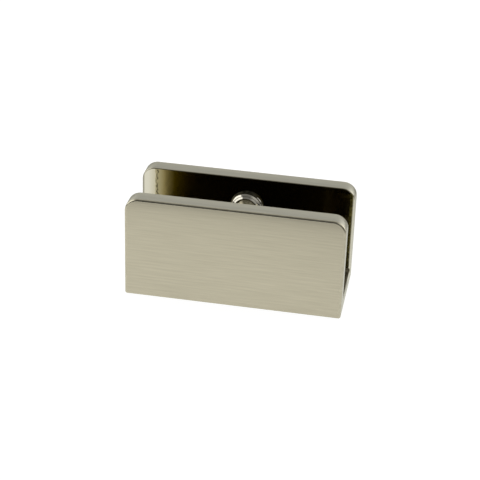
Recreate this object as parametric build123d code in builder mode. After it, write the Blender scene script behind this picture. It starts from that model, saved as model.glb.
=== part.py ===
from build123d import *
import os

os.makedirs("parts", exist_ok=True)

# Clamp body: a U channel lying along X, base on Z = 0, slot opening upwards
length = 51.0
height = 25.0
plate_thickness = 4.0
slot_width = 13.2
web_thickness = 3.2
top_corner_radius = 3.2
root_radius = 0.8
outer_edge_radius = 0.4
inner_edge_radius = 0.25

# Wall-screw holes in the web, countersunk from the slot
wall_hole_spacing = 28.0
wall_hole_diameter = 5.0
wall_head_diameter = 9.6
wall_head_angle = 90.0

# Set screw across the back plate, tip towards the slot
screw_below_top = 7.4
screw_diameter = 8.0
screw_clearance = 0.05
screw_standing_out = 2.1
screw_recess = 0.1
hole_mouth_chamfer = 0.4
screw_end_chamfer = 0.5
socket_across_flats = 4.0
socket_depth = 3.0

# Cup in the screw tip and the swivel pad that its lip holds
cup_wall = 1.05
cup_depth = 1.2
lip_thickness = 0.4
lip_overlap = 0.2
pad_clearance = 0.05
pad_neck_clearance = 0.25
pad_neck_length = 0.2
pad_standing_out = 0.3

# Sizes that follow from the ones above
width = slot_width + 2 * plate_thickness
screw_height = height - screw_below_top
screw_length = plate_thickness + screw_standing_out - screw_recess
screw_tip_y = slot_width / 2 - screw_standing_out
screw_axis = Axis((0, 0, screw_height), (0, 1, 0))
hole_radius = screw_diameter / 2 + screw_clearance
cup_radius = screw_diameter / 2 - cup_wall
lip_radius = cup_radius - lip_overlap

with BuildPart() as clamp_body:
    with BuildSketch(Plane.YZ) as section:
        Rectangle(width, height, align=(Align.CENTER, Align.MIN))
        with Locations((0, web_thickness)):
            Rectangle(slot_width, height, align=(Align.CENTER, Align.MIN), mode=Mode.SUBTRACT)
        fillet(section.vertices().group_by(Axis.Y)[1], root_radius)
    extrude(amount=length / 2, both=True)
    fillet(clamp_body.edges().filter_by(Axis.Y).group_by(Axis.Z)[-1], top_corner_radius)
    front_face = clamp_body.faces().sort_by(Axis.Y)[0]
    back_face = clamp_body.faces().sort_by(Axis.Y)[-1]
    base_face = clamp_body.faces().sort_by(Axis.Z)[0]
    base_ends = base_face.edges().filter_by(Axis.Y)
    fillet(front_face.edges() + back_face.edges() + base_ends, outer_edge_radius)
    slot_walls = clamp_body.faces().filter_by(Axis.Y).sort_by(Axis.Y)[1:3]
    root_lines = slot_walls.edges().group_by(Axis.Z)[0]
    fillet(slot_walls.edges() - root_lines, inner_edge_radius)
    with BuildSketch(Plane.XZ.offset(-width / 2)) as tapped_hole:
        with Locations((0, screw_height)):
            Circle(hole_radius)
    extrude(amount=plate_thickness, mode=Mode.SUBTRACT)
    hole_rims = clamp_body.edges().filter_by(GeomType.CIRCLE).filter_by(
        lambda edge: abs(edge.radius - hole_radius) < 1e-4
    )
    chamfer(hole_rims, hole_mouth_chamfer)
    with Locations(Plane.XY.offset(web_thickness)):
        with GridLocations(wall_hole_spacing, 0, 2, 1):
            CounterSinkHole(
                wall_hole_diameter / 2,
                wall_head_diameter / 2,
                depth=web_thickness,
                counter_sink_angle=wall_head_angle,
            )

with BuildPart() as set_screw:
    with BuildSketch(Plane.XZ.offset(-screw_tip_y)) as screw_round:
        with Locations((0, screw_height)):
            Circle(screw_diameter / 2)
    extrude(amount=-screw_length)
    tip_face = set_screw.faces().sort_by(Axis.Y)[0]
    drive_face = set_screw.faces().sort_by(Axis.Y)[-1]
    chamfer(tip_face.edges(), screw_end_chamfer)
    chamfer(drive_face.edges(), screw_end_chamfer)
    with BuildSketch(Plane.XZ.offset(-screw_tip_y)) as lip_mouth:
        with Locations((0, screw_height)):
            Circle(lip_radius)
    extrude(amount=-cup_depth, mode=Mode.SUBTRACT)
    with BuildSketch(Plane.XZ.offset(-screw_tip_y - lip_thickness)) as cup:
        with Locations((0, screw_height)):
            Circle(cup_radius)
    extrude(amount=lip_thickness - cup_depth, mode=Mode.SUBTRACT)
    with BuildSketch(Plane.XZ.offset(-screw_tip_y - screw_length)) as socket:
        with Locations((0, screw_height)):
            RegularPolygon(socket_across_flats / 2, 6, major_radius=False)
    extrude(amount=socket_depth, mode=Mode.SUBTRACT)

with BuildPart() as tip_pad:
    with BuildSketch(Plane.YZ) as half_section:
        with BuildLine() as outline:
            flange_back = screw_tip_y + cup_depth - pad_clearance
            flange_front = screw_tip_y + lip_thickness + pad_clearance
            flange_radius = cup_radius - pad_clearance
            neck_radius = lip_radius - pad_neck_clearance
            apex = (screw_tip_y - pad_standing_out, screw_height)
            dome_edge = (flange_front - pad_neck_length, screw_height + neck_radius)
            Polyline(
                apex,
                (flange_back, screw_height),
                (flange_back, screw_height + flange_radius),
                (flange_front, screw_height + flange_radius),
                (flange_front, screw_height + neck_radius),
                dome_edge,
            )
            TangentArc(apex, dome_edge, tangent=(0, 1))
        make_face()
    revolve(axis=screw_axis)

clamp_body.part.label = "clamp_body"
set_screw.part.label = "set_screw"
tip_pad.part.label = "tip_pad"

export_step(clamp_body.part, "parts/clamp_body.step")
export_step(set_screw.part, "parts/set_screw.step")
export_step(tip_pad.part, "parts/tip_pad.step")
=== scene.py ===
import bpy
import bmesh
import math
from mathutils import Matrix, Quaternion, Vector, noise


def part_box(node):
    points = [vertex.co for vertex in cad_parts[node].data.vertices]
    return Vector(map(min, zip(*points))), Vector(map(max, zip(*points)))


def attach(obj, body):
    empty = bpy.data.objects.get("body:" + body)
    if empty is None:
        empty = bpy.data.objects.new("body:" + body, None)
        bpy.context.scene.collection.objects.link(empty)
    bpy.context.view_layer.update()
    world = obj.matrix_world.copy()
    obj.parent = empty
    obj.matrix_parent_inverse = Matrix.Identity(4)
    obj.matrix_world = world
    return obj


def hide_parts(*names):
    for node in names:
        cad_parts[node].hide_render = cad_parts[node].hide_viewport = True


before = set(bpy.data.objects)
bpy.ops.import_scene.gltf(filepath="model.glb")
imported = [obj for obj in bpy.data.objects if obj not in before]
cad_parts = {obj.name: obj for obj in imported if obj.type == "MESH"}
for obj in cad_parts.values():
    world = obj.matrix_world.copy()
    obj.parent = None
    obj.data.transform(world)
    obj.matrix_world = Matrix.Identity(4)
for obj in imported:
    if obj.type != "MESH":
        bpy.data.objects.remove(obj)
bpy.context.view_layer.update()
print("frame loaded", sorted(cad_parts))

mm = 0.001
tiny = 0.01 * mm  # how near two places are when they count as the same
weld = 0.0005 * mm  # vertices nearer than this become one
flatWithin = math.radians(1)  # faces that meet under this angle become one
upright = 0.9  # a face looks up when this much of its normal does


# Small tools for modelling by hand

def near(a, b):
    return abs(a - b) < tiny


def clearSelection():
    if bpy.context.mode != "OBJECT":
        bpy.ops.object.mode_set(mode="OBJECT")
    bpy.ops.object.select_all(action="DESELECT")


def workOn(piece):
    clearSelection()
    piece.select_set(True)
    bpy.context.view_layer.objects.active = piece


def settle(piece):
    workOn(piece)
    bpy.ops.object.transform_apply(location=True, rotation=True, scale=True)


def openMesh(piece):
    workOn(piece)
    bpy.ops.object.mode_set(mode="EDIT")
    bpy.ops.mesh.select_mode(type="VERT")
    bpy.ops.mesh.select_all(action="SELECT")


def closeMesh():
    bpy.ops.object.mode_set(mode="OBJECT")


def pickEdges(test):
    bpy.ops.mesh.select_mode(type="EDGE")
    bpy.ops.mesh.select_all(action="DESELECT")
    cage = bmesh.from_edit_mesh(bpy.context.edit_object.data)
    for edge in cage.edges:
        edge.select_set(test(edge.verts[0].co, edge.verts[1].co))
    bmesh.update_edit_mesh(bpy.context.edit_object.data)


def pickFaces(test):
    bpy.ops.mesh.select_mode(type="FACE")
    bpy.ops.mesh.select_all(action="DESELECT")
    cage = bmesh.from_edit_mesh(bpy.context.edit_object.data)
    for face in cage.faces:
        face.select_set(test(face.calc_center_median(), face.normal))
    bmesh.update_edit_mesh(bpy.context.edit_object.data)


def roundPicked(radius, steps):
    bpy.ops.mesh.bevel(offset_type="OFFSET", offset=radius, segments=steps, profile=0.5,
                       affect="EDGES", clamp_overlap=False)


def mendMesh(piece):
    openMesh(piece)
    bpy.ops.mesh.remove_doubles(threshold=weld)
    bpy.ops.mesh.normals_make_consistent(inside=False)
    closeMesh()


def applyModifier(piece, kind, **settings):
    workOn(piece)
    modifier = piece.modifiers.new(kind.lower(), kind)
    for name, value in settings.items():
        setattr(modifier, name, value)
    bpy.ops.object.modifier_apply(modifier=modifier.name)


def carve(piece, cutter, operation="DIFFERENCE"):
    applyModifier(piece, "BOOLEAN", object=cutter, operation=operation, solver="EXACT")
    bpy.data.objects.remove(cutter)


def smoothShade(piece, degrees):
    workOn(piece)
    bpy.ops.object.shade_smooth_by_angle(angle=math.radians(degrees))
    applyModifier(piece, "WEIGHTED_NORMAL", mode="FACE_AREA", weight=50, keep_sharp=True)


def profilePoints(points):
    # one vertex pulled out of a small plane, then extruded from point to point in the XZ plane
    clearSelection()
    bpy.ops.mesh.primitive_plane_add(size=mm, location=(0, 0, 0))
    piece = bpy.context.object
    openMesh(piece)
    bpy.ops.mesh.merge(type="CENTER")
    bpy.ops.transform.translate(value=(points[0][0], 0, points[0][1]))
    for (x0, z0), (x1, z1) in zip(points, points[1:]):
        bpy.ops.mesh.extrude_region_move(TRANSFORM_OT_translate={"value": (x1 - x0, 0, z1 - z0)})
    closeMesh()
    return piece


def turned(points, steps):
    piece = profilePoints(points)
    openMesh(piece)
    bpy.ops.mesh.spin(steps=steps, angle=2 * math.pi, center=(0, 0, 0), axis=(0, 0, 1))
    closeMesh()
    mendMesh(piece)
    return piece


def layAlongScrew(piece):
    piece.rotation_euler = (-math.pi / 2, 0, 0)  # what stood up along Z now runs along +Y
    piece.location = screwTip
    settle(piece)


def fromScrewAxis(x, z):
    return math.hypot(x - screwTip.x, z - screwTip.z)


# Set screw: places come from the frame, thread sizes from the metric coarse series

screwLow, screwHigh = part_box("set_screw")
screwTip = Vector(((screwLow.x + screwHigh.x) / 2, screwLow.y, (screwLow.z + screwHigh.z) / 2))
screwLength = screwHigh.y - screwLow.y
screwRadius = (screwHigh.x - screwLow.x) / 2

setScrew = {
    "pitch": 1.25 * mm,
    "threadDepth": 0.677 * mm,
    "crestFlat": 0.156 * mm,
    "flankAngle": 30,
    "threadPhase": 0.13 * mm,
    "spareTurns": 2,  # wound past each end and cut off again
    "rodSteps": 72,
    "cutRoom": 0.1 * mm,  # how far a cutter reaches past what it cuts
    "endChamfer": 0.5 * mm,
    # the thread's first turn is turned off at a slant, and shines where it is full
    "startBack": (0.18 * mm, 0.22 * mm),
    "startChamfer": 0.16 * mm,
    "startSlant": 33,
    "startFull": 0.06 * mm,
    "noseLength": 0.95 * mm,  # plain turned nose, the thread runs out behind it
    "noseRadius": 3.80 * mm,
    "noseChamfer": 0.72 * mm,
    "noseInset": 0.05 * mm,  # lets the nose and the thread overlap where they join
    "noseTaper": 0.35 * mm,
    "noseRoot": 0.6 * mm,
    "cupRadius": 2.95 * mm,
    "cupDepth": 1.2 * mm,
    "lipRadius": 2.75 * mm,
    "lipThickness": 0.40 * mm,
    "noseFace": [  # mm out from the axis and back from the tip: the lip, the groove and the outer ring
        (2.75, 0.20), (2.80, 0.08), (2.88, 0), (2.95, 0.01),
        (3.32, 0.34), (3.34, 0.42), (3.42, 0.42), (3.44, 0.30), (3.77, 0.66),
    ],
    "socketFlats": 4.0 * mm,
    "socketDepth": 3.0 * mm,
    "socketMouth": 0.35 * mm,
    "mouthSteep": 1.2,
    "mouthSteps": 48,
    "smoothUnder": 32,
}


def threadRod(crest, crestFlat, low, high):
    s = setScrew
    pitch, depth = s["pitch"], s["threadDepth"]
    flank = depth * math.tan(math.radians(s["flankAngle"]))
    start = s["threadPhase"] - s["spareTurns"] * pitch - crestFlat / 2
    rod = profilePoints([
        (crest, start),
        (crest, start + crestFlat),
        (crest - depth, start + crestFlat + flank),
        (crest - depth, start + pitch - flank),
        (crest, start + pitch),
    ])
    applyModifier(rod, "SCREW", angle=2 * math.pi, screw_offset=pitch, steps=s["rodSteps"],
                  render_steps=s["rodSteps"], iterations=math.ceil(high / pitch) + 2 * s["spareTurns"])
    mendMesh(rod)
    openMesh(rod)
    for level, side in ((low, -1), (high, 1)):
        bpy.ops.mesh.select_all(action="SELECT")
        bpy.ops.mesh.bisect(plane_co=(0, 0, level), plane_no=(0, 0, side), use_fill=True, clear_outer=True)
    closeMesh()
    mendMesh(rod)
    return rod


def buildSetScrew():
    s = setScrew
    room, inset, chamfer = s["cutRoom"], s["noseInset"], s["endChamfer"]
    startFoot, startFace = (s["noseLength"] + back for back in s["startBack"])
    startEnd = startFace + (s["startChamfer"] + room) / math.tan(math.radians(s["startSlant"]))
    shank = turned([
        (0, s["cupDepth"] + room),
        (s["cupRadius"] + room, s["cupDepth"] + room),
        (s["cupRadius"] + room, s["noseLength"] - room),
        (s["noseRadius"] - inset, s["noseLength"] - room),
        (s["noseRadius"] - inset, startFoot),
        (screwRadius - s["startChamfer"], startFace),
        (screwRadius + room, startEnd),
        (screwRadius + room, screwLength - chamfer - room),
        (screwRadius - chamfer, screwLength),
        (0, screwLength),
    ], s["rodSteps"])
    screw = threadRod(screwRadius, s["crestFlat"], -mm, screwLength + mm)
    screw.name = "setScrew"
    carve(screw, shank, "INTERSECT")

    core = screwRadius - s["threadDepth"] - inset
    rootEnd = s["cupDepth"] + s["noseRoot"]
    cup = [
        (0, s["cupDepth"]),
        (s["cupRadius"], s["cupDepth"]),
        (s["cupRadius"], s["lipThickness"]),
        (s["lipRadius"], s["lipThickness"]),
    ]
    face = [(out * mm, back * mm) for out, back in s["noseFace"]]
    nose = turned(cup + face + [
        (s["noseRadius"], s["noseChamfer"]),
        (s["noseRadius"], s["noseLength"]),
        (core, s["noseLength"] + s["noseTaper"]),
        (core, rootEnd),
        (0, rootEnd),
    ], s["rodSteps"])
    carve(screw, nose, "UNION")

    clearSelection()
    socket = s["socketFlats"] / math.sqrt(3)
    bpy.ops.mesh.primitive_cylinder_add(
        vertices=6, radius=socket, depth=2 * s["socketDepth"], location=(0, 0, screwLength))
    carve(screw, bpy.context.object)
    clearSelection()
    mouth = socket + s["socketMouth"] / 2
    bpy.ops.mesh.primitive_cone_add(
        vertices=s["mouthSteps"], radius1=0, radius2=2 * mouth,
        depth=2 * mouth / math.sqrt(3) * s["mouthSteep"], location=(0, 0, screwLength))
    carve(screw, bpy.context.object)
    layAlongScrew(screw)
    mendMesh(screw)
    smoothShade(screw, s["smoothUnder"])
    print("set screw built", len(screw.data.polygons), "faces")
    return screw


# Clamp body

clampLow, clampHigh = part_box("clamp_body")

clampSizes = {
    "plate": 4.0 * mm,
    "slot": 13.2 * mm,
    "web": 3.2 * mm,
    "topCorner": 3.2 * mm,
    "topCornerSteps": 20,
    "root": 0.8 * mm,
    "rootSteps": 6,
    "outerEdge": 0.5 * mm,
    "outerEdgeSteps": 5,
    "innerEdge": 0.25 * mm,
    "wallHoleSpacing": 28.0 * mm,
    "wallHole": 5.0 * mm,
    "wallHead": 9.6 * mm,
    "wallHoleSteps": 64,
    "threadRoom": 0.05 * mm,
    "threadSlack": 0.06 * mm,
    "mouthChamfer": 0.4 * mm,
    "reliefRadius": 4.09 * mm,  # no thread just inside the slot's wall, so the nose can draw back into it
    "reliefDepth": 1.1 * mm,
    "rollProfile": [  # polishing draws the slot's walls off towards their upright ends, in mm
        (1.20, 0), (0.95, 0.0022), (0.75, 0.0073), (0.55, 0.0157), (0.40, 0.0255), (0.27, 0.037),
        (0.16, 0.052), (0.08, 0.09), (0.03, 0.25), (0.01, 0.60), (0, 1.0),
    ],
    "rollUneven": 0.3,
    "rollApart": (31, 17, 50),  # moves through the noise, so that no two edges are uneven alike
    "rollSteps": 60,
    "rollGrain": 0.65 * mm,
    "rollFoot": 0.3 * mm,
    "rollTurn": 35,  # degrees round the top corner until the roll has run out
    "rollLimit": 80,
    "smoothUnder": 40,
}


def rollEndEdges(body, end, wall, foot, head):
    # the slot's upright end edges are cut into short lengths, and each is drawn off a little differently
    c = clampSizes
    radius, corner = c["innerEdge"], c["topCorner"]
    apartX, apartY, apartDepth = c["rollApart"]

    def fromEnd(point):
        # how far inside the end, measured square to it, and how far round the top corner
        if point.z <= head:
            return abs(point.x) - end, 0
        out = Vector((abs(point.x) - end + corner, point.z - head))
        return out.length - corner, math.atan2(out.y, out.x)

    def onEdge(point):
        inwards, turn = fromEnd(point)
        across = abs(point.y) - wall
        square = -radius - tiny < inwards < tiny and -tiny < across < radius + tiny
        atEnd = turn < math.radians(c["rollLimit"]) and abs(point.x) > end - corner
        return square and point.z > foot and atEnd

    openMesh(body)
    for step in range(1, c["rollSteps"]):
        pickFaces(lambda centre, normal: onEdge(centre) and centre.z < head)
        level = foot + (head - foot) * step / c["rollSteps"]
        bpy.ops.mesh.bisect(plane_co=(0, 0, level), plane_no=(0, 0, 1))
    cage = bmesh.from_edit_mesh(body.data)
    for vert in cage.verts:
        if not onEdge(vert.co):
            continue
        x, y, z = vert.co
        inwards, turn = fromEnd(vert.co)
        reach = max(0, min(1, (z - foot) / c["rollFoot"], 1 - turn / math.radians(c["rollTurn"])))
        share = math.atan2(inwards + radius, wall + radius - abs(y)) / (math.pi / 2)
        grain = Vector((math.copysign(apartX, x), math.copysign(apartY, y), z / c["rollGrain"]))
        inset, depth = c["rollProfile"][round(share * (len(c["rollProfile"]) - 1))]
        inset *= mm * (1 + c["rollUneven"] * noise.noise(grain))
        depth *= mm * (1 + c["rollUneven"] * noise.noise(grain + Vector((0, 0, apartDepth))))
        moved = reach * (-inset - inwards)
        vert.co.x += math.copysign(1, x) * moved * math.cos(turn)
        vert.co.z += moved * math.sin(turn)
        vert.co.y = math.copysign(abs(y) + reach * (wall + depth - abs(y)), y)
    bmesh.update_edit_mesh(body.data)
    closeMesh()


def buildClampBody():
    c = clampSizes
    end, side, top = clampHigh
    wall = c["slot"] / 2
    clearSelection()
    bpy.ops.mesh.primitive_cube_add(size=1, location=(0, 0, c["web"] / 2))
    body = bpy.context.object
    body.name = "clampBody"
    body.scale = (clampHigh.x - clampLow.x, clampHigh.y - clampLow.y, c["web"])
    settle(body)

    openMesh(body)  # the web first, then both plates pulled up from it
    for place in (-wall, wall):
        bpy.ops.mesh.select_all(action="SELECT")
        bpy.ops.mesh.bisect(plane_co=(0, place, 0), plane_no=(0, 1, 0))
    pickFaces(lambda centre, normal: normal.z > upright and abs(centre.y) > wall)
    bpy.ops.mesh.extrude_region_move(TRANSFORM_OT_translate={"value": (0, 0, top - c["web"])})
    bpy.ops.mesh.select_all(action="SELECT")
    bpy.ops.mesh.dissolve_limited(angle_limit=flatWithin)

    pickEdges(lambda a, b: near(a.z, c["web"]) and near(b.z, c["web"])
              and near(abs(a.y), wall) and near(a.y, b.y))
    roundPicked(c["root"], c["rootSteps"])
    pickEdges(lambda a, b: near(a.z, top) and near(b.z, top) and near(a.x, b.x))
    roundPicked(c["topCorner"], c["topCornerSteps"])

    def outerLine(a, b):
        onPlate = near(abs(a.y), side) and near(a.y, b.y)
        underEnd = near(a.z, 0) and near(b.z, 0) and near(abs(a.x), end) and near(a.x, b.x)
        return onPlate or underEnd

    def innerLine(a, b):
        rootTop = c["web"] + c["root"]
        onWall = near(abs(a.y), wall) and near(a.y, b.y)
        wallFoot = near(a.z, rootTop) and near(b.z, rootTop)
        atEnd = near(abs(a.x), end) and near(a.x, b.x)
        inSlot = max(abs(a.y), abs(b.y)) < wall + tiny and min(a.z, b.z) > c["web"] - tiny
        return (onWall and not wallFoot) or (atEnd and inSlot)

    pickEdges(outerLine)
    roundPicked(c["outerEdge"], c["outerEdgeSteps"])
    pickEdges(innerLine)
    roundPicked(c["innerEdge"], len(c["rollProfile"]) - 1)
    closeMesh()

    for place in (-c["wallHoleSpacing"] / 2, c["wallHoleSpacing"] / 2):
        headDepth = (c["wallHead"] - c["wallHole"]) / 2
        drill = turned([
            (0, -mm),
            (c["wallHole"] / 2, -mm),
            (c["wallHole"] / 2, c["web"] - headDepth),
            (c["wallHead"] / 2 + mm, c["web"] + mm),
            (0, c["web"] + mm),
        ], c["wallHoleSteps"])
        drill.location = (place, 0, 0)
        settle(drill)
        carve(body, drill)

    inner, outer = wall - screwTip.y, side - screwTip.y
    tap = threadRod(screwRadius + c["threadRoom"], setScrew["crestFlat"] + c["threadSlack"],
                    inner - mm, outer + mm)
    layAlongScrew(tap)
    carve(body, tap)
    mouth = screwRadius + c["threadRoom"] + c["mouthChamfer"]
    inside = screwRadius - setScrew["threadDepth"]
    relief, reliefEnd = c["reliefRadius"], inner + c["reliefDepth"]
    slotMouth = [
        (0, inner - mm),
        (mouth + mm, inner - mm),
        (relief, inner + mouth - relief),
        (relief, reliefEnd),
        (inside, reliefEnd + relief - inside),
        (0, reliefEnd + relief - inside),
    ]
    outerMouth = [
        (0, outer + mm),
        (mouth + mm, outer + mm),
        (inside, outer - mouth + inside),
        (0, outer - mouth + inside),
    ]
    for profile in (slotMouth, outerMouth):
        sink = turned(profile, setScrew["rodSteps"])
        layAlongScrew(sink)
        carve(body, sink)
    mendMesh(body)
    rollEndEdges(body, end, wall, c["web"] + c["root"], top - c["topCorner"])
    mendMesh(body)
    smoothShade(body, c["smoothUnder"])
    print("clamp body built", len(body.data.polygons), "faces")
    return body


# Pad in the screw tip

padLow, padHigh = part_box("tip_pad")

tipPad = {
    "neckRadius": 2.62 * mm,
    "faceRadius": 1.60 * mm,
    "shoulder": ((0.12, 0.04), (0.20, 0.11)),  # mm out and back from the rim of the flat face
    "flangeThickness": 0.7 * mm,
    "turnSteps": 64,
    "smoothUnder": 35,
}


def buildTipPad():
    p = tipPad
    flangeRadius = (padHigh.x - padLow.x) / 2
    back = padHigh.y - screwTip.y
    front = back - p["flangeThickness"]
    apex = padLow.y - screwTip.y
    face = [(0, apex), (p["faceRadius"], apex)]  # a flat face with a soft shoulder and a cone behind it
    face += [(p["faceRadius"] + out * mm, apex + down * mm) for out, down in p["shoulder"]]
    pad = turned(face + [
        (p["neckRadius"], front),
        (flangeRadius, front),
        (flangeRadius, back),
        (0, back),
    ], p["turnSteps"])
    pad.name = "tipPad"
    layAlongScrew(pad)
    mendMesh(pad)
    smoothShade(pad, p["smoothUnder"])
    print("tip pad built", len(pad.data.polygons), "faces")
    return pad


# Finishes

noiseSpan = (0.3, 0.7)  # nearly all of a noise's values lie between these


def newMaterial(name):
    material = bpy.data.materials.new(name)
    material.use_nodes = True
    nodes = material.node_tree.nodes
    return material, nodes, material.node_tree.links, nodes["Principled BSDF"]


def placeOf(nodes, links, kind="Object"):
    place = nodes.new("ShaderNodeTexCoord")
    split = nodes.new("ShaderNodeSeparateXYZ")
    links.new(place.outputs[kind], split.inputs["Vector"])
    return [split.outputs[axis] for axis in "XYZ"]


def objectNoise(nodes, links, stretch, detail, roughness=0.5):
    place = nodes.new("ShaderNodeTexCoord")
    mapping = nodes.new("ShaderNodeMapping")
    mapping.inputs["Scale"].default_value = stretch
    cloud = nodes.new("ShaderNodeTexNoise")
    cloud.inputs["Scale"].default_value = 1
    cloud.inputs["Detail"].default_value = detail
    cloud.inputs["Roughness"].default_value = roughness
    links.new(place.outputs["Object"], mapping.inputs["Vector"])
    links.new(mapping.outputs["Vector"], cloud.inputs["Vector"])
    return cloud.outputs["Fac"]


def ramp(nodes, links, value, start, stop, low=0, high=1, smooth=False):
    node = nodes.new("ShaderNodeMapRange")
    node.interpolation_type = "SMOOTHSTEP" if smooth else "LINEAR"
    limits = {"From Min": start, "From Max": stop, "To Min": low, "To Max": high}
    for name, limit in limits.items():
        node.inputs[name].default_value = limit
    links.new(value, node.inputs["Value"])
    return node.outputs["Result"]


def spread(nodes, links, value, low=0, high=1):
    return ramp(nodes, links, value, *noiseSpan, low, high)


def cover(nodes, links, under, over, share):
    # one colour laid over another, each a plain colour or a socket
    node = nodes.new("ShaderNodeMix")
    node.data_type = "RGBA"
    for name, color in (("A", under), ("B", over)):
        if isinstance(color, tuple):
            node.inputs[name].default_value = (*color, 1)
        else:
            links.new(color, node.inputs[name])
    links.new(share, node.inputs["Factor"])
    return node.outputs["Result"]


def sums(nodes, links, kind, a, b=0):
    node = nodes.new("ShaderNodeMath")
    node.operation = kind
    for socket, value in zip(node.inputs, (a, b)):
        if isinstance(value, (int, float)):
            socket.default_value = value
        else:
            links.new(value, socket)
    return node.outputs["Value"]


def bump(nodes, links, value, distance, strength=1):
    node = nodes.new("ShaderNodeBump")
    node.inputs["Distance"].default_value = distance
    node.inputs["Strength"].default_value = strength
    links.new(value, node.inputs["Height"])
    return node.outputs["Normal"]


def grained(name, look):
    # a plain finish: one noise sets the colour, the roughness and, where it has a depth, the bump
    material, nodes, links, shader = newMaterial(name)
    grain = objectNoise(nodes, links, look["grain"], look["detail"])
    color = cover(nodes, links, *look["colors"], spread(nodes, links, grain))
    links.new(color, shader.inputs["Base Color"])
    links.new(spread(nodes, links, grain, *look["roughness"]), shader.inputs["Roughness"])
    if "depth" in look:
        links.new(bump(nodes, links, grain, look["depth"], look["strength"]), shader.inputs["Normal"])
    for socket, value in look["sockets"].items():
        shader.inputs[socket].default_value = value
    return material


brushed = {
    "face": ((0.50, 0.465, 0.346), (0.60, 0.56, 0.423)),
    "rim": ((0.47, 0.455, 0.383), (0.55, 0.534, 0.448)),  # the ends too
    "grazing": (0.52, 0.52, 0.47),
    "endGrazing": (0.95, 0.95, 0.88),
    "along": 90,  # streaks per metre along the brushing
    "across": 2400,
    "detail": 4,
    "coarse": 0.6,
    "roughness": (0.32, 0.40),
    "depth": 0.003 * mm,
    "rollSlope": 0.16,  # the brushing wheel rounds the faces off a little towards their top edges
    "rollFade": 2.2 * mm,
    "crown": 0.18 * mm,  # and leaves the rim a little higher along its middle
}


def brushedNickel(name, stretch, colors, grazing, shape=None):
    material, nodes, links, shader = newMaterial(name)
    streak = objectNoise(nodes, links, stretch, brushed["detail"], brushed["coarse"])
    shader.inputs["Metallic"].default_value = 1
    shader.inputs["Specular Tint"].default_value = (*brushed[grazing], 1)
    color = cover(nodes, links, *brushed[colors], spread(nodes, links, streak))
    links.new(color, shader.inputs["Base Color"])
    links.new(spread(nodes, links, streak, *brushed["roughness"]), shader.inputs["Roughness"])
    height = spread(nodes, links, streak, 0, brushed["depth"])
    if shape:
        height = sums(nodes, links, "ADD", height, shape(nodes, links))
    links.new(bump(nodes, links, height, 1), shader.inputs["Normal"])
    return material


def rollOff(nodes, links):
    x, y, z = placeOf(nodes, links)
    room = sums(nodes, links, "SUBTRACT", clampHigh.z, z)
    curve = sums(nodes, links, "EXPONENT", sums(nodes, links, "DIVIDE", room, -brushed["rollFade"]))
    return sums(nodes, links, "MULTIPLY", curve, -brushed["rollSlope"] * brushed["rollFade"])


def rimCrown(nodes, links):
    c = clampSizes
    x, y, z = placeOf(nodes, links)
    middle = (c["slot"] + c["plate"]) / 2
    offset = sums(nodes, links, "SUBTRACT", sums(nodes, links, "ABSOLUTE", y), middle)
    share = sums(nodes, links, "DIVIDE", offset, c["plate"] / 2)
    return sums(nodes, links, "MULTIPLY", sums(nodes, links, "MULTIPLY", share, share), -brushed["crown"])


channel = {
    "deep": (0.14, 0.105, 0.004),  # painted shade: the walls darken towards the middle of the slot, far from its open ends; less polish reaches down there too
    "middle": (0.37, 0.315, 0.16),
    "middleAt": 0.4,
    "outer": (0.65, 0.625, 0.505),
    "fadeFrom": 1.5 * mm,
    "fadeTo": 8.0 * mm,
    # a wandering line near the front wall's left end, where the plating stops
    "rawColor": (0.06, 0.052, 0.026),
    "rawAway": 0.52 * mm,
    "rawWander": 2.4 * mm,
    "rawGrain": (1, 1, 760),
    "rawDetail": 1,
    "rawWidth": 0.15 * mm,
    # a speckled strip with no polish at the back wall's right end, soft on its outer side; its near-black
    # colour is painted shade
    "bareShadeColors": ((0.012, 0.01, 0.001), (0.21, 0.18, 0.05)),
    "bareStrip": (0.42 * mm, 1.2 * mm),
    "bareFade": 0.2 * mm,
    "bareGrain": (2000, 2000, 2000),
    "bareDetail": 3,
    "bareRoughness": 0.35,
    # the very corner of the back wall's left end is duller
    "cornerColor": (0.33, 0.315, 0.25),
    "corner": (0.40 * mm, 0.60 * mm),
    "waves": (700, 700, 700),
    "waveDetail": 2,
    "roughness": (0.03, 0.06),
    "deepRoughness": 0.22,
    "deepFrom": 3.9 * mm,
    "deepTo": 6.5 * mm,
    "depth": 0.012 * mm,
}


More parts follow.
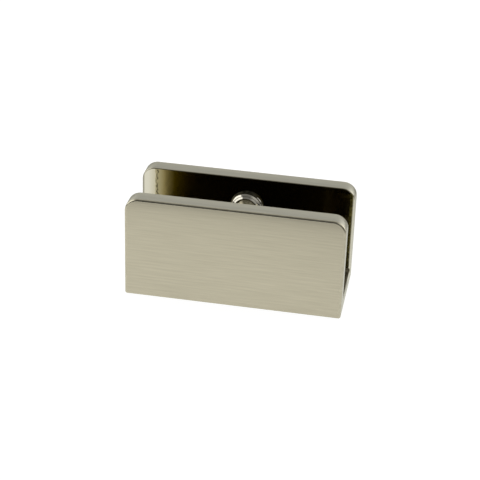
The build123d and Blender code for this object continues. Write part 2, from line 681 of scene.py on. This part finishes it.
def channelNickel():
    material, nodes, links, shader = newMaterial("channelNickel")
    x, y, z = placeOf(nodes, links)

    def both(kind, a, b=0):
        return sums(nodes, links, kind, a, b)

    left, right = (both(kind, x) for kind in ("LESS_THAN", "GREATER_THAN"))
    front, back = (both(kind, y) for kind in ("LESS_THAN", "GREATER_THAN"))
    room = both("SUBTRACT", clampHigh.x, both("ABSOLUTE", x))

    # painted shade: the walls' colour runs from light at the open ends to near black deep inside the slot
    slotShadeRamp = nodes.new("ShaderNodeValToRGB")
    slotShadeRamp.color_ramp.elements[0].color = (*channel["deep"], 1)
    slotShadeRamp.color_ramp.elements[1].color = (*channel["outer"], 1)
    slotShadeRamp.color_ramp.elements.new(channel["middleAt"]).color = (*channel["middle"], 1)
    links.new(ramp(nodes, links, room, channel["fadeTo"], channel["fadeFrom"]), slotShadeRamp.inputs["Fac"])

    wander = objectNoise(nodes, links, channel["rawGrain"], channel["rawDetail"])
    wander = both("SUBTRACT", wander, sum(noiseSpan) / 2)
    wander = both("MULTIPLY", wander, channel["rawWander"])
    away = both("SUBTRACT", both("SUBTRACT", room, wander), channel["rawAway"])
    line = ramp(nodes, links, both("ABSOLUTE", away), channel["rawWidth"], channel["rawWidth"] / 2)
    raw = both("MULTIPLY", line, both("MULTIPLY", front, left))
    color = cover(nodes, links, slotShadeRamp.outputs["Color"], channel["rawColor"], raw)

    # painted shade: the dark speckled strip near the back wall's right end, which is also left rougher
    outside, inside = channel["bareStrip"]
    strip = ramp(nodes, links, room, outside - channel["bareFade"], outside + channel["bareFade"])
    strip = both("MULTIPLY", strip, both("LESS_THAN", room, inside))
    shadedBare = both("MULTIPLY", strip, both("MULTIPLY", back, right))
    speckle = spread(nodes, links, objectNoise(nodes, links, channel["bareGrain"], channel["bareDetail"]))
    color = cover(nodes, links, color, cover(nodes, links, *channel["bareShadeColors"], speckle), shadedBare)

    full, gone = channel["corner"]
    dull = both("MULTIPLY", ramp(nodes, links, room, gone, full), both("MULTIPLY", back, left))
    color = cover(nodes, links, color, channel["cornerColor"], dull)

    wave = objectNoise(nodes, links, channel["waves"], channel["waveDetail"])
    polish = spread(nodes, links, wave, *channel["roughness"])
    polish = both("MAXIMUM", polish, both("MULTIPLY", shadedBare, channel["bareRoughness"]))
    deep = ramp(nodes, links, room, channel["deepFrom"], channel["deepTo"], 0, channel["deepRoughness"])
    polish = both("MAXIMUM", polish, deep)
    shader.inputs["Metallic"].default_value = 1
    links.new(color, shader.inputs["Base Color"])
    links.new(polish, shader.inputs["Roughness"])
    links.new(bump(nodes, links, wave, channel["depth"]), shader.inputs["Normal"])
    return material


slotFloor = {
    "colors": ((0.26, 0.235, 0.16), (0.34, 0.31, 0.22)),
    "grain": (1500, 220, 1500),  # marks of the cutter across the slot
    "detail": 3,
    "roughness": (0.34, 0.46),
    "depth": 0.012 * mm,
    "strength": 0.5,
    "sockets": {"Metallic": 1},
}

edgeFinish = {
    "colors": ((0.47, 0.437, 0.325), (0.55, 0.515, 0.39)),
    "grain": (900, 900, 900),
    "detail": 3,
    "roughness": (0.15, 0.21),
    "sockets": {"Metallic": 1, "Specular Tint": (0.85, 0.85, 0.80, 1)},
}

# how squarely a face of the clamp looks along an axis, to be a plate's face, an end, a rim or a rolled wall
clampFacing = {
    "face": 0.999,
    "end": 0.95,
    "rim": 0.01,
    "roll": 0.5,
}


def clampFinishOf(face):
    c, facing = clampSizes, clampFacing
    x, y, z = face.center
    wall, rootTop = c["slot"] / 2, c["web"] + c["root"]
    across = abs(face.normal.y)
    inSlot = abs(y) < wall + tiny and z > c["web"] - tiny
    onFloor = inSlot and z < rootTop
    inThread = fromScrewAxis(x, z) < screwRadius + mm and wall < y < clampHigh.y - tiny
    inHole = math.hypot(abs(x) - c["wallHoleSpacing"] / 2, y) < c["wallHead"] / 2 + mm
    inHole = inHole and tiny < z < c["web"]
    onRoll = tiny < abs(y) - wall < c["innerEdge"] and abs(x) > clampHigh.x - c["topCorner"]
    onRoll = onRoll and rootTop < z < clampHigh.z - c["topCorner"] / 2 and across > facing["roll"]
    if near(abs(x), clampHigh.x):  # the ends of the U, each one flat face
        return "end"
    if onFloor or inHole:
        return "slotFloor"
    if inThread and y > clampHigh.y - mm:  # the chamfered mouth of the screw's hole
        return "edge"
    if inSlot or inThread or onRoll:
        return "channel"
    if across > facing["face"]:
        return "face"
    if abs(face.normal.x) > facing["end"]:
        return "end"
    return "rim" if across < facing["rim"] else "edge"


def paintClamp(body):
    lengthways = (brushed["along"], brushed["along"], brushed["across"])
    alongRim = (brushed["along"], brushed["across"], brushed["along"])
    finishes = {
        "face": brushedNickel("faceNickel", lengthways, "face", "grazing", rollOff),
        "rim": brushedNickel("rimNickel", alongRim, "rim", "grazing", rimCrown),
        "channel": channelNickel(),
        "edge": grained("edgeNickel", edgeFinish),
        "slotFloor": grained("slotFloorNickel", slotFloor),
        "end": brushedNickel("endNickel", alongRim, "rim", "endGrazing"),
    }
    for material in finishes.values():
        body.data.materials.append(material)
    order = list(finishes)
    for face in body.data.polygons:
        face.material_index = order.index(clampFinishOf(face))


screwGrain = {
    "grain": (1400, 1400, 1400),
    "detail": 4,
    "depth": 0.004 * mm,
    "strength": 0.4,
    "sockets": {"Metallic": 1},
}

screwFinishes = {
    "turned": {
        "colors": ((0.62, 0.59, 0.495), (0.75, 0.715, 0.61)),
        "roughness": (0.07, 0.12),
    },
    "thread": {  # painted shade: thread and socket are coloured near black, far darker than the turned nose of the same steel
        "colors": ((0.035, 0.032, 0.022), (0.14, 0.13, 0.09)),
        "roughness": (0.28, 0.40),
    },
}

# how squarely a face of the screw looks along it, to be its end, the thread's start or a socket's side
screwFacing = {
    "end": 0.5,
    "start": 0.06,
    "side": 0.1,
}


def screwFinishOf(face, corners):
    s, facing = setScrew, screwFacing
    x, y, z = face.center
    slant = math.sin(math.radians(s["startSlant"]))
    outside = fromScrewAxis(x, z) > screwRadius - s["threadDepth"] - tiny
    reach = max(fromScrewAxis(corners[i].co.x, corners[i].co.z) for i in face.vertices)
    behindNose = y > screwTip.y + s["noseChamfer"] + tiny
    onEnd = y > screwHigh.y - s["endChamfer"] and face.normal.y > facing["end"]
    onStart = y < screwTip.y + s["noseLength"] + mm and abs(face.normal.y + slant) < facing["start"]
    onStart = onStart and reach > screwRadius - s["startFull"]
    onThread = outside and behindNose and not onEnd and not onStart
    nearSocket = y > screwHigh.y - s["socketDepth"] - tiny and not outside
    socketFloor = y < screwHigh.y - s["socketDepth"] + tiny
    inSocket = nearSocket and (abs(face.normal.y) < facing["side"] or socketFloor)
    # thread and socket faces take the dark finish, which is painted shade
    return "thread" if onThread or inSocket else "turned"


def paintScrew(screw):
    for name, look in screwFinishes.items():
        screw.data.materials.append(grained(name + "Steel", {**screwGrain, **look}))
    order = list(screwFinishes)
    for face in screw.data.polygons:
        face.material_index = order.index(screwFinishOf(face, screw.data.vertices))


nylon = {
    "colors": ((0.16, 0.145, 0.075), (0.44, 0.40, 0.26)),
    "grain": (1800, 1800, 1800),
    "detail": 3,
    "roughness": (0.10, 0.17),
    "depth": 0.01 * mm,
    "strength": 0.4,
    "sockets": {"IOR": 2.2, "Specular IOR Level": 0.85, "Specular Tint": (1, 0.9, 0.64, 1)},
}


body = buildClampBody()
paintClamp(body)
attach(body, "clamp_body")
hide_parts("clamp_body")

screw = buildSetScrew()
paintScrew(screw)
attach(screw, "set_screw")
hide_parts("set_screw")

pad = buildTipPad()
pad.data.materials.append(grained("padNylon", nylon))
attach(pad, "tip_pad")
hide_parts("tip_pad")


# Studio

studio = {
    "floorSize": 8.0,
    "floorDrop": 0.02 * mm,
    "floorColor": (0.25, 0.25, 0.25, 1),
    "floorGlow": 0.875,  # only for what is seen straight or mirrored, so it sheds no light on the clamp
    "floorSeen": 1.06,  # seen straight, a little brighter still, so it stays white beside the clamp
    "poolCentre": (-0.05, 0.02, 0),
    "pool": (0.05, 0.25),  # the mirrored floor dims between these distances from the pool of light
    "poolEnd": 0.2,
    # brightness of the room, and the parts of a direction over which each light fades in
    "overhead": 0.62,
    "sideFade": (0.35, 0.8),
    "leftBoost": 0.3,
    "rightBoost": 1.0,
    "backBoost": 0.45,
    "backFade": (0.3, 0.7),
    "backLow": (0.6, 0.15),
    "frontFade": (-0.2, 0.1),
    "frontDark": 0.06,
    "frontUp": 0.13,
    "frontUpFade": (0.4, 0.8),
    "frontRight": 0.3,
    "frontRightFade": (0.2, 0.6),
    "frontRightUp": (0.1, 0.4),
}


def layFloor():
    clearSelection()
    bpy.ops.mesh.primitive_plane_add(size=studio["floorSize"], location=(0, 0, -studio["floorDrop"]))
    floor = bpy.context.object
    floor.name = "studioFloor"
    settle(floor)
    material, nodes, links, shader = newMaterial("studioFloor")
    shader.inputs["Base Color"].default_value = studio["floorColor"]
    shader.inputs["Roughness"].default_value = 1
    shader.inputs["Specular IOR Level"].default_value = 0
    shader.inputs["Emission Color"].default_value = (1, 1, 1, 1)
    place = nodes.new("ShaderNodeTexCoord")
    far = nodes.new("ShaderNodeVectorMath")
    far.operation = "DISTANCE"
    far.inputs[1].default_value = studio["poolCentre"]
    links.new(place.outputs["Object"], far.inputs[0])
    pool = ramp(nodes, links, far.outputs["Value"], *studio["pool"], 1, studio["poolEnd"], smooth=True)
    rays = nodes.new("ShaderNodeLightPath")
    mirrored = sums(nodes, links, "MULTIPLY", rays.outputs["Is Glossy Ray"], pool)
    straight = sums(nodes, links, "MULTIPLY", rays.outputs["Is Camera Ray"], studio["floorSeen"])
    seen = sums(nodes, links, "MAXIMUM", straight, mirrored)
    seen = sums(nodes, links, "MAXIMUM", seen, rays.outputs["Is Transmission Ray"])
    links.new(sums(nodes, links, "MULTIPLY", seen, studio["floorGlow"]), shader.inputs["Emission Strength"])
    floor.data.materials.append(material)


def lightWorld():
    world = bpy.data.worlds.new("studio")
    bpy.context.scene.world = world
    world.use_nodes = True
    nodes, links = world.node_tree.nodes, world.node_tree.links
    x, y, z = placeOf(nodes, links, "Generated")

    def both(kind, a, b):
        return sums(nodes, links, kind, a, b)

    def fade(value, limits):
        return ramp(nodes, links, value, *studio[limits], smooth=True)

    left = both("MULTIPLY", fade(both("MULTIPLY", x, -1), "sideFade"), studio["leftBoost"])
    right = both("MULTIPLY", fade(x, "sideFade"), studio["rightBoost"])
    back = both("MULTIPLY", fade(y, "backFade"), fade(z, "backLow"))
    back = both("MULTIPLY", back, studio["backBoost"])
    level = both("ADD", both("ADD", left, right), both("ADD", back, studio["overhead"]))
    front = fade(both("MULTIPLY", y, -1), "frontFade")  # the unlit room behind the camera
    room = both("ADD", both("MULTIPLY", fade(z, "frontUpFade"), studio["frontUp"]), studio["frontDark"])
    side = both("MULTIPLY", fade(x, "frontRightFade"), fade(z, "frontRightUp"))
    side = both("MULTIPLY", side, studio["frontRight"])
    level = both("ADD", both("MULTIPLY", level, both("SUBTRACT", 1, front)),
                 both("MULTIPLY", front, both("ADD", room, side)))
    camera = nodes.new("ShaderNodeLightPath").outputs["Is Camera Ray"]
    level = both("ADD", camera, both("MULTIPLY", both("SUBTRACT", 1, camera), level))
    nodes["Background"].inputs["Color"].default_value = (1, 1, 1, 1)
    links.new(level, nodes["Background"].inputs["Strength"])


keyBox = {
    "place": (-0.68, -0.163, 0.375),
    "width": 0.68,
    "height": 0.72,
    "power": 1.96,
}


def hangKeyBox():
    light = bpy.data.lights.new("keyBox", "AREA")
    light.shape = "RECTANGLE"
    light.size, light.size_y = keyBox["width"], keyBox["height"]
    light.energy = keyBox["power"]
    holder = bpy.data.objects.new("keyBox", light)
    holder.location = keyBox["place"]
    holder.rotation_euler = (-Vector(keyBox["place"])).to_track_quat("-Z", "Y").to_euler()
    bpy.context.scene.collection.objects.link(holder)


photoCamera = {
    "azimuth": 9.59,
    "elevation": 28.36,
    "roll": 1.99,
    "distance": 344.64 * mm,
    "target": (-0.285 * mm, 0, 11.912 * mm),
    "lens": 109.98,
    "sensor": 36,
    "nearest": 10 * mm,
}


def setCamera():
    p = photoCamera
    azimuth, elevation = math.radians(p["azimuth"]), math.radians(p["elevation"])
    away = Vector((math.sin(azimuth) * math.cos(elevation), -math.cos(azimuth) * math.cos(elevation),
                   math.sin(elevation)))
    camera = bpy.data.cameras.new("photoCamera")
    camera.lens = p["lens"]
    camera.sensor_width = p["sensor"]
    camera.clip_start = p["nearest"]
    holder = bpy.data.objects.new("photoCamera", camera)
    holder.location = Vector(p["target"]) + away * p["distance"]
    aim = (-away).to_track_quat("-Z", "Y") @ Quaternion((0, 0, 1), math.radians(p["roll"]))
    holder.rotation_euler = aim.to_euler()
    bpy.context.scene.collection.objects.link(holder)
    bpy.context.scene.camera = holder


layFloor()
lightWorld()
hangKeyBox()
setCamera()
bpy.context.scene.view_settings.view_transform = "Standard"
print("studio set")
